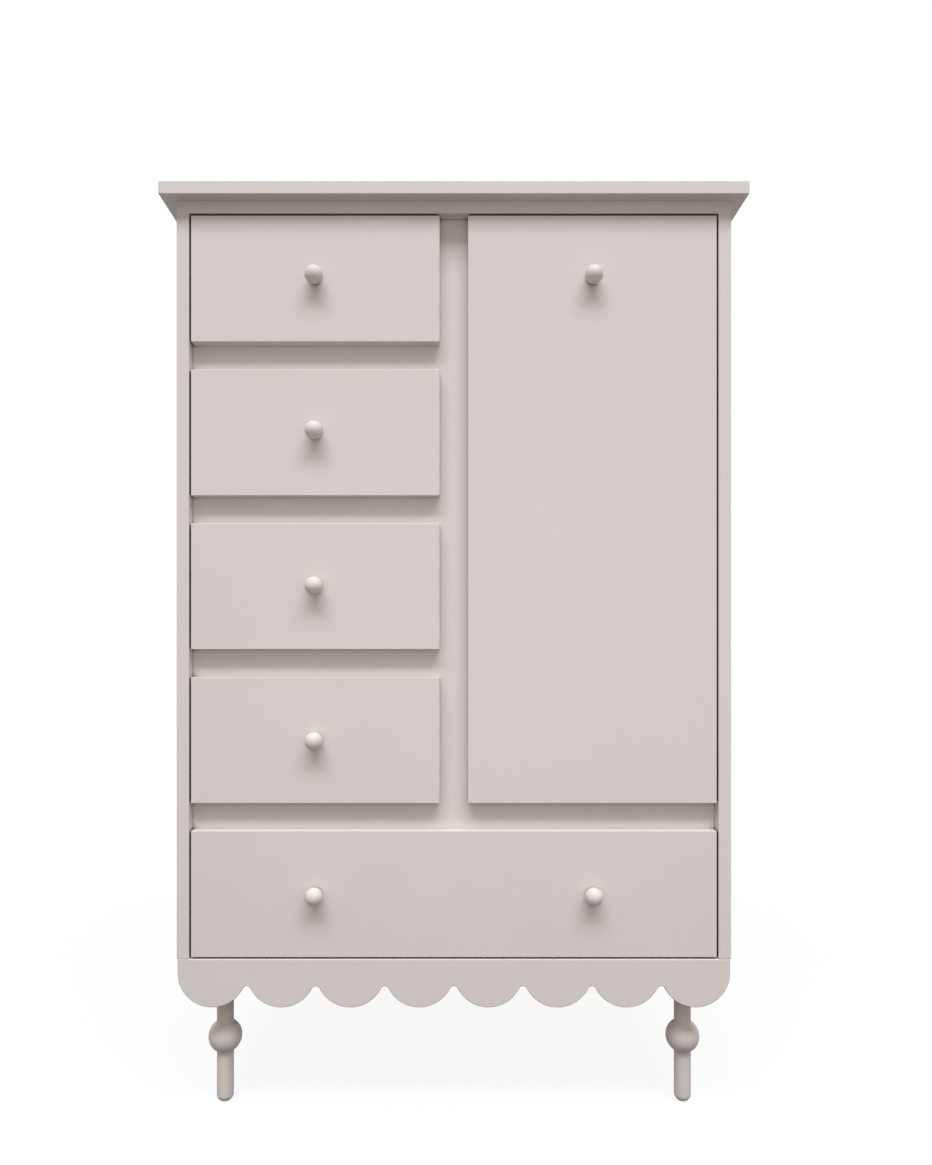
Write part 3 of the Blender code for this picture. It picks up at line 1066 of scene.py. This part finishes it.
@dataclass
class ScallopedApron:
    """Apron with a row of round scallops along its lower edge.

    Attributes:
        scallops: Number of scallops.
        straight: Height of the plain strip above them.
        notch: Radius of the small round between two scallops.
        soft_edge: Rounding of its edges.
    """

    scallops: int = 8
    straight: float = 0.020
    notch: float = 0.006
    soft_edge: float = 0.0014

    edge_steps = 3
    scallop_steps = 36
    notch_steps = 12
    crease = 40.0

    def outline(self, left: float, right: float, top: float) -> list[Point2]:
        """Outline of the apron.

        Args:
            left: Its left end.
            right: Its right end.
            top: Its upper edge.

        Returns:
            Points (x, z) round it.
        """
        pitch = (right - left) / self.scallops
        radius = pitch / 2
        level = top - self.straight
        drop = math.sqrt((radius + self.notch) ** 2 - radius**2)
        meet = math.atan2(drop, radius)
        points = [(left, top)]
        for i in range(self.scallops):
            middle = left + (i + 0.5) * pitch
            start = math.pi if i == 0 else math.pi + meet
            end = 2 * math.pi if i == self.scallops - 1 else 2 * math.pi - meet
            points += arc((middle, level), radius, start, end, self.scallop_steps)
            if i < self.scallops - 1:
                between = (middle + radius, level - drop)
                points += arc(between, self.notch, math.pi - meet, meet, self.notch_steps)[1:-1]
        points.append((right, top))
        return points

    def build(self) -> bpy.types.Object:
        """Makes the apron in place of its plain solid.

        Returns:
            The apron.
        """
        low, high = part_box("apron")
        bm = extruded(self.outline(low.x, high.x, high.z), high.y - low.y)
        bmesh.ops.translate(bm, verts=bm.verts, vec=(0, low.y, 0))
        obj = make_piece("scalloped_apron", bm, LACQUER, body_of("apron"), self.crease)
        soften(obj, self.soft_edge, self.edge_steps)
        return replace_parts(obj, "apron")


@dataclass
class TurnedLegs:
    """Turned legs: a dowel with a ball, rounded at the floor.

    Attributes:
        dowel: Radius of the dowel.
        ball_height: Height of the middle of the ball.
        flat: Radius of the flat under the foot.
    """

    dowel: float = 0.0125
    ball_height: float = 0.098
    flat: float = 0.0015

    steps = 64
    foot_steps = 10
    ball_steps = 28
    crease = 30.0
    nodes = ("leg_front_left", "leg_front_right", "leg_rear_left", "leg_rear_right")

    def profile(self, ball: float, height: float) -> list[Point2]:
        """Half section of a leg from the floor up.

        Args:
            ball: Radius of the ball.
            height: Height of the leg.

        Returns:
            Points of radius and height.
        """
        half = math.acos(self.dowel / ball)
        corner = self.dowel - self.flat
        foot = arc((self.flat, corner), corner, -math.pi / 2, 0.0, self.foot_steps)
        swell = arc((0.0, self.ball_height), ball, -half, half, self.ball_steps)
        return [(0.0, 0.0), *foot, *swell, (self.dowel, height), (0.0, height)]

    def build(self) -> None:
        """Makes the legs in place of their faceted solids."""
        for node in self.nodes:
            low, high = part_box(node)
            bm = turned(self.profile((high.x - low.x) / 2, high.z), self.steps)
            middle = middle_of(node)
            bmesh.ops.translate(bm, verts=bm.verts, vec=(middle.x, middle.y, 0.0))
            leg = make_piece(f"turned_{node}", bm, LACQUER, body_of(node), self.crease)
            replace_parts(leg, node)


@dataclass
class BallKnobs:
    """Ball knobs on short coved necks, and the screws that hold them from behind.

    Attributes:
        ball: Radius of the ball.
        neck: Radius of the neck where it meets the ball.
        base: Radius of the foot on the front.
        base_edge: Height of the edge of the foot.
        screw: The screw behind it.
    """

    ball: float = 0.013
    neck: float = 0.0055
    base: float = 0.006
    base_edge: float = 0.0006
    screw: Screw = Screw(Head.PAN, 0.0042, 0.0024)

    steps = 56
    ball_steps = 24
    cove_steps = 6
    crease = 30.0
    fronts = {
        "drawer_1_knob": "drawer_1_front",
        "drawer_2_knob": "drawer_2_front",
        "drawer_3_knob": "drawer_3_front",
        "drawer_4_knob": "drawer_4_front",
        "wide_drawer_knob_left": "wide_drawer_front",
        "wide_drawer_knob_right": "wide_drawer_front",
        "door_knob": "door_panel",
    }

    def profile(self, reach: float) -> list[Point2]:
        """Half section of a knob from the front outwards.

        Args:
            reach: From the front to the tip.

        Returns:
            Points of radius and height.
        """
        middle = reach - self.ball
        start = -math.acos(self.neck / self.ball)
        ball = arc((0.0, middle), self.ball, start, math.pi / 2, self.ball_steps)
        meet = ball[0][1]
        foot = [(0.0, 0.0), (self.base, 0.0), (self.base, self.base_edge)]
        cove = []
        for i in range(1, self.cove_steps):
            share = i / self.cove_steps
            bend = 1.0 - math.sin(share * math.pi / 2)
            height = self.base_edge + share * (meet - self.base_edge)
            cove.append((self.neck + (self.base - self.neck) * bend, height))
        return [*foot, *cove, *ball[:-1], (0.0, reach)]

    def build(self) -> None:
        """Makes the knobs in place of their faceted solids, and their screws."""
        for node, front in self.fronts.items():
            low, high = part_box(node)
            middle = middle_of(node)
            bm = bmesh.new()
            seat = Vector((middle.x, high.y, middle.z))
            add_mesh(bm, turned(self.profile(high.y - low.y), self.steps), seat, Vector((0, -1, 0)))
            knob = make_piece(f"turned_{node}", bm, LACQUER, body_of(node), self.crease)
            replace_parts(knob, node)
            behind = bmesh.new()
            inside = Vector((middle.x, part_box(front)[1].y, middle.z))
            self.screw.add(behind, inside, Vector((0, 1, 0)))
            make_piece(f"{node}_screw", behind, ZINC, body_of(node))


@dataclass
class Drawer:
    """One drawer with its box and its pair of runner strips.

    Attributes:
        name: Name of its body and first word of its nodes.
        soft_edge: Rounding of its front.
        screw_inset: From an end of a strip to its first and last screw.
        screw: A screw of the strips.
    """

    name: str
    soft_edge: float = 0.0003
    screw_inset: float = 0.036
    screw: Screw = Screw(Head.FLUSH, 0.0036, 0.00012)

    def build(self) -> None:
        """Dresses the drawer and screws its strips to the walls."""
        # The front's lacquer carries a painted shadow round the foot of its knob.
        dress((f"{self.name}_front",), FRONT_LACQUER_KNOB_SHADOW)
        dress((f"{self.name}_box",), BIRCH)
        dress((f"{self.name}_bottom",), SHEET)
        strips = {f"{self.name}_runner_left": 1, f"{self.name}_runner_right": -1}
        dress(strips, BEECH)
        soften(frame["nodes"][f"{self.name}_front"], self.soft_edge, weld=True)
        bm = bmesh.new()
        for node, inward in strips.items():
            low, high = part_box(node)
            x = high.x if inward > 0 else low.x
            ends = (low.y + self.screw_inset, high.y - self.screw_inset)
            for y in (ends[0], sum(ends) / 2, ends[1]):
                self.screw.add(bm, Vector((x, y, (low.z + high.z) / 2)), Vector((inward, 0, 0)))
        make_piece(f"{self.name}_runner_screws", bm, ZINC, body_of(f"{self.name}_runner_left"))


@dataclass
class Cupboard:
    """The door with its hinges and catch, and the shelves behind it.

    Attributes:
        soft_edge: Rounding of the door.
        pin_radius: Radius of a shelf pin.
        pin_reach: How far it stands out of the wall.
        pin_collar: Radius of its collar.
        collar_edge: Thickness of the collar at its rim, and where it meets the pin.
        pin_tip: Rounding of its tip.
        pin_inset: From an edge of a shelf to its pins.
        plate: Thickness of the plate of a hinge arm.
        plate_holes: Screws of a plate, in from its rear end and up from its middle.
        plate_screw: A screw of a plate.
        strike_screw: A screw of the strike plate.
        strike_hole: From the middle of the strike plate to its screws.
        housing_edge: Rounding of the housing of the catch.
        pole: Width and thickness of a pole strip.
        pole_offset: From the middle of the catch to the strips.
        pole_rise: How far they stand out of the housing.
        pole_sink: How far they go into it.
    """

    soft_edge: float = 0.0003
    pin_radius: float = 0.0025
    pin_reach: float = 0.009
    pin_collar: float = 0.0042
    collar_edge: tuple[float, float] = (0.0008, 0.0010)
    pin_tip: float = 0.0006
    pin_inset: float = 0.045
    plate: float = 0.002
    plate_holes: tuple[Point2, ...] = ((0.014, 0.0115), (0.014, -0.0115), (0.034, 0.0))
    plate_screw: Screw = Screw(Head.PAN, 0.0036, 0.0016)
    strike_screw: Screw = Screw(Head.FLUSH, 0.0026, 0.0001)
    strike_hole: float = 0.0205
    housing_edge: float = 0.0012
    pole: tuple[float, float] = (0.036, 0.0016)
    pole_offset: float = 0.0028
    pole_rise: float = 0.0001
    pole_sink: float = 0.004

    shelves = ("shelf_1", "shelf_2")
    hinges = ("lower", "upper")
    pin_steps = 20
    housing_steps = 3

    def build(self) -> None:
        """Dresses the cupboard and adds its fittings."""
        # The door's lacquer carries a painted shadow round the foot of its knob.
        dress(("door_panel",), FRONT_LACQUER_KNOB_SHADOW)
        dress(self.shelves, LACQUER)
        dress((f"hinge_{part}_{end}" for part in ("arm", "cup") for end in self.hinges), NICKEL)
        dress(("strike_plate",), NICKEL)
        soften(frame["nodes"]["door_panel"], self.soft_edge, weld=True)
        self.pin_shelves()
        self.screw_hinges()
        self.make_catch()

    def pin_shelves(self) -> bpy.types.Object:
        """Puts pins under the four corners of each shelf.

        Returns:
            The pins.
        """
        radius, collar, reach, tip = self.pin_radius, self.pin_collar, self.pin_reach, self.pin_tip
        rim, root = self.collar_edge
        profile = [(0.0, 0.0), (collar, 0.0), (collar, rim), (radius, root)]
        profile += [(radius, reach - tip), (radius - tip, reach), (0.0, reach)]
        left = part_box("partition")[1].x
        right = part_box("side_panel_right")[0].x
        bm = bmesh.new()
        for shelf in self.shelves:
            low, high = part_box(shelf)
            z = low.z - self.pin_collar
            for y in (low.y + self.pin_inset, high.y - self.pin_inset):
                for x, inward in ((left, 1), (right, -1)):
                    pin = turned(profile, self.pin_steps)
                    add_mesh(bm, pin, Vector((x, y, z)), Vector((inward, 0, 0)))
        return make_piece("shelf_pins", bm, NICKEL, body_of("shelf_1"))

    def screw_hinges(self) -> None:
        """Screws in the plates of the hinge arms."""
        for end in self.hinges:
            node = f"hinge_arm_{end}"
            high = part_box(node)[1]
            z = middle_of(node).z
            bm = bmesh.new()
            for back, up in self.plate_holes:
                at = Vector((high.x - self.plate, high.y - back, z + up))
                self.plate_screw.add(bm, at, Vector((-1, 0, 0)))
            make_piece(f"{node}_screws", bm, ZINC, body_of(node))

    def make_catch(self) -> None:
        """Magnetic catch: a rounded housing with two pole strips, and the screws of its strike."""
        low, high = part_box("magnet_catch")
        bm = bmesh.new()
        add_block(bm, low, high)
        housing = make_piece("catch_housing", bm, PLASTIC, body_of("magnet_catch"))
        soften(housing, self.housing_edge, self.housing_steps)
        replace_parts(housing, "magnet_catch")
        middle = middle_of("magnet_catch")
        wide, thick = self.pole
        poles = bmesh.new()
        for z in (middle.z - self.pole_offset, middle.z + self.pole_offset):
            add_block(
                poles,
                (middle.x - wide / 2, low.y - self.pole_rise, z - thick / 2),
                (middle.x + wide / 2, low.y + self.pole_sink, z + thick / 2),
            )
        make_piece("catch_poles", poles, NICKEL, body_of("magnet_catch"))
        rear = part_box("strike_plate")[1].y
        strike = middle_of("strike_plate")
        bm = bmesh.new()
        for side in (-1, 1):
            at = Vector((strike.x + side * self.strike_hole, rear, strike.z))
            self.strike_screw.add(bm, at, Vector((0, 1, 0)))
        make_piece("strike_screws", bm, ZINC, body_of("strike_plate"))


@dataclass(frozen=True)
class Lamp:
    """A rectangular soft light.

    Attributes:
        name: Its name.
        at: Where it stands.
        towards: What it points at.
        wide: Its width, level.
        tall: Its other side.
        power: Its power in watts.
        colour: Its colour.
    """

    name: str
    at: tuple[float, float, float]
    towards: tuple[float, float, float]
    wide: float
    tall: float
    power: float
    colour: Colour = WHITE

    def build(self) -> bpy.types.Object:
        """Sets the lamp up.

        Returns:
            The lamp.
        """
        light = bpy.data.lights.new(self.name, "AREA")
        light.shape = "RECTANGLE"
        light.size = self.wide
        light.size_y = self.tall
        light.energy = self.power
        light.color = self.colour
        lamp = bpy.data.objects.new(self.name, light)
        lamp.location = self.at
        aim = Vector(self.towards) - Vector(self.at)
        lamp.rotation_euler = aim.to_track_quat("-Z", "Y").to_euler()
        lamp.visible_camera = False
        bpy.context.scene.collection.objects.link(lamp)
        return lamp


@dataclass
class Studio:
    """Camera, lamps, floor and surroundings.

    Attributes:
        eye: Where the camera stands; it looks level along +Y.
        focal_pixels: Focal length in pixels of the photograph.
        vanishing_point: Where the level lines run to, in pixels of the photograph.
        ambient: Level of the light from all round.
        ambient_colour: Its colour, a little warm as in a room.
        floor_half: Half of the width of the floor.
        sensor: Long side of the camera's sensor, in millimetres.
        sight: How far the camera sees.
    """

    eye: tuple[float, float, float] = (0.0008, -1.5002, 0.674)
    focal_pixels: float = 883.0
    vanishing_point: Point2 = (454.4, 652.4)
    ambient: float = 0.53
    ambient_colour: Colour = (1.0, 0.89, 0.82)
    floor_half: float = 12.0
    sensor: float = 36.0
    sight: float = 100.0

    lamps = (
        Lamp(
            "overhead_panel",
            (0.4, -6.63, 12.32),
            (0.4, -6.63, 0.0),
            wide=14.1,
            tall=4.42,
            power=2380.0,
            colour=(0.893, 0.958, 1.0),
        ),
        Lamp("front_panel", (0.1, -1.3, 0.72), (0.1, -0.2, 0.75), wide=1.5, tall=0.7, power=2.7),
        Lamp("rear_left", (-2.6, 1.9, 0.9), (0.0, 0.1, 0.8), wide=2.6, tall=0.8, power=20.0),
        Lamp("rear_right", (2.6, 1.9, 0.9), (0.0, 0.1, 0.8), wide=2.6, tall=0.8, power=20.0),
    )

    def build(self) -> None:
        """Sets everything up."""
        self.set_camera()
        for lamp in self.lamps:
            lamp.build()
        self.set_world()
        self.lay_floor()
        bpy.context.scene.view_settings.view_transform = "Standard"

    def set_camera(self) -> None:
        """Camera with the photograph's viewpoint and framing."""
        data = bpy.data.cameras.new("photo_camera")
        long_side = max(PHOTO_WIDTH, PHOTO_HEIGHT)
        data.sensor_width = self.sensor
        data.lens = self.sensor * self.focal_pixels / long_side
        data.shift_x = (PHOTO_WIDTH / 2 - self.vanishing_point[0]) / long_side
        data.shift_y = (self.vanishing_point[1] - PHOTO_HEIGHT / 2) / long_side
        data.clip_end = self.sight
        camera = bpy.data.objects.new("photo_camera", data)
        camera.location = self.eye
        camera.rotation_euler = (math.pi / 2, 0.0, 0.0)
        bpy.context.scene.collection.objects.link(camera)
        bpy.context.scene.camera = camera

    def set_world(self) -> None:
        """Even light from all round, white where it is looked at."""
        world = bpy.data.worlds.new("white_surround")
        world.use_nodes = True
        bpy.context.scene.world = world
        tree = Tree(world.node_tree)
        seen = tree.seen()
        level = seen * (1.0 - self.ambient) + self.ambient
        colour = tree.mix(seen, self.ambient_colour, WHITE)
        light = tree.node("ShaderNodeBackground", {}, {"Color": colour, "Strength": level})
        tree.node("ShaderNodeOutputWorld", {}, {"Surface": light})

    def lay_floor(self) -> bpy.types.Object:
        """Lays a white floor under the dresser.

        Returns:
            The floor.
        """
        bm = bmesh.new()
        half = self.floor_half
        corners = ((-half, -half), (half, -half), (half, half), (-half, half))
        bm.faces.new([bm.verts.new((x, y, 0.0)) for x, y in corners])
        mesh = bpy.data.meshes.new("floor")
        bm.to_mesh(mesh)
        bm.free()
        mesh.materials.append(STAGE.material())
        floor = bpy.data.objects.new("floor", mesh)
        bpy.context.scene.collection.objects.link(floor)
        return floor


def main() -> None:
    """Builds the dresser's looks and the studio round it."""
    logging.basicConfig(level=logging.INFO, format="%(name)s: %(message)s")
    Carcass().build()
    ScallopedApron().build()
    TurnedLegs().build()
    for name in ("drawer_1", "drawer_2", "drawer_3", "drawer_4", "wide_drawer"):
        Drawer(name).build()
    Cupboard().build()
    BallKnobs().build()
    Studio().build()


if __name__ == "__main__":
    main()
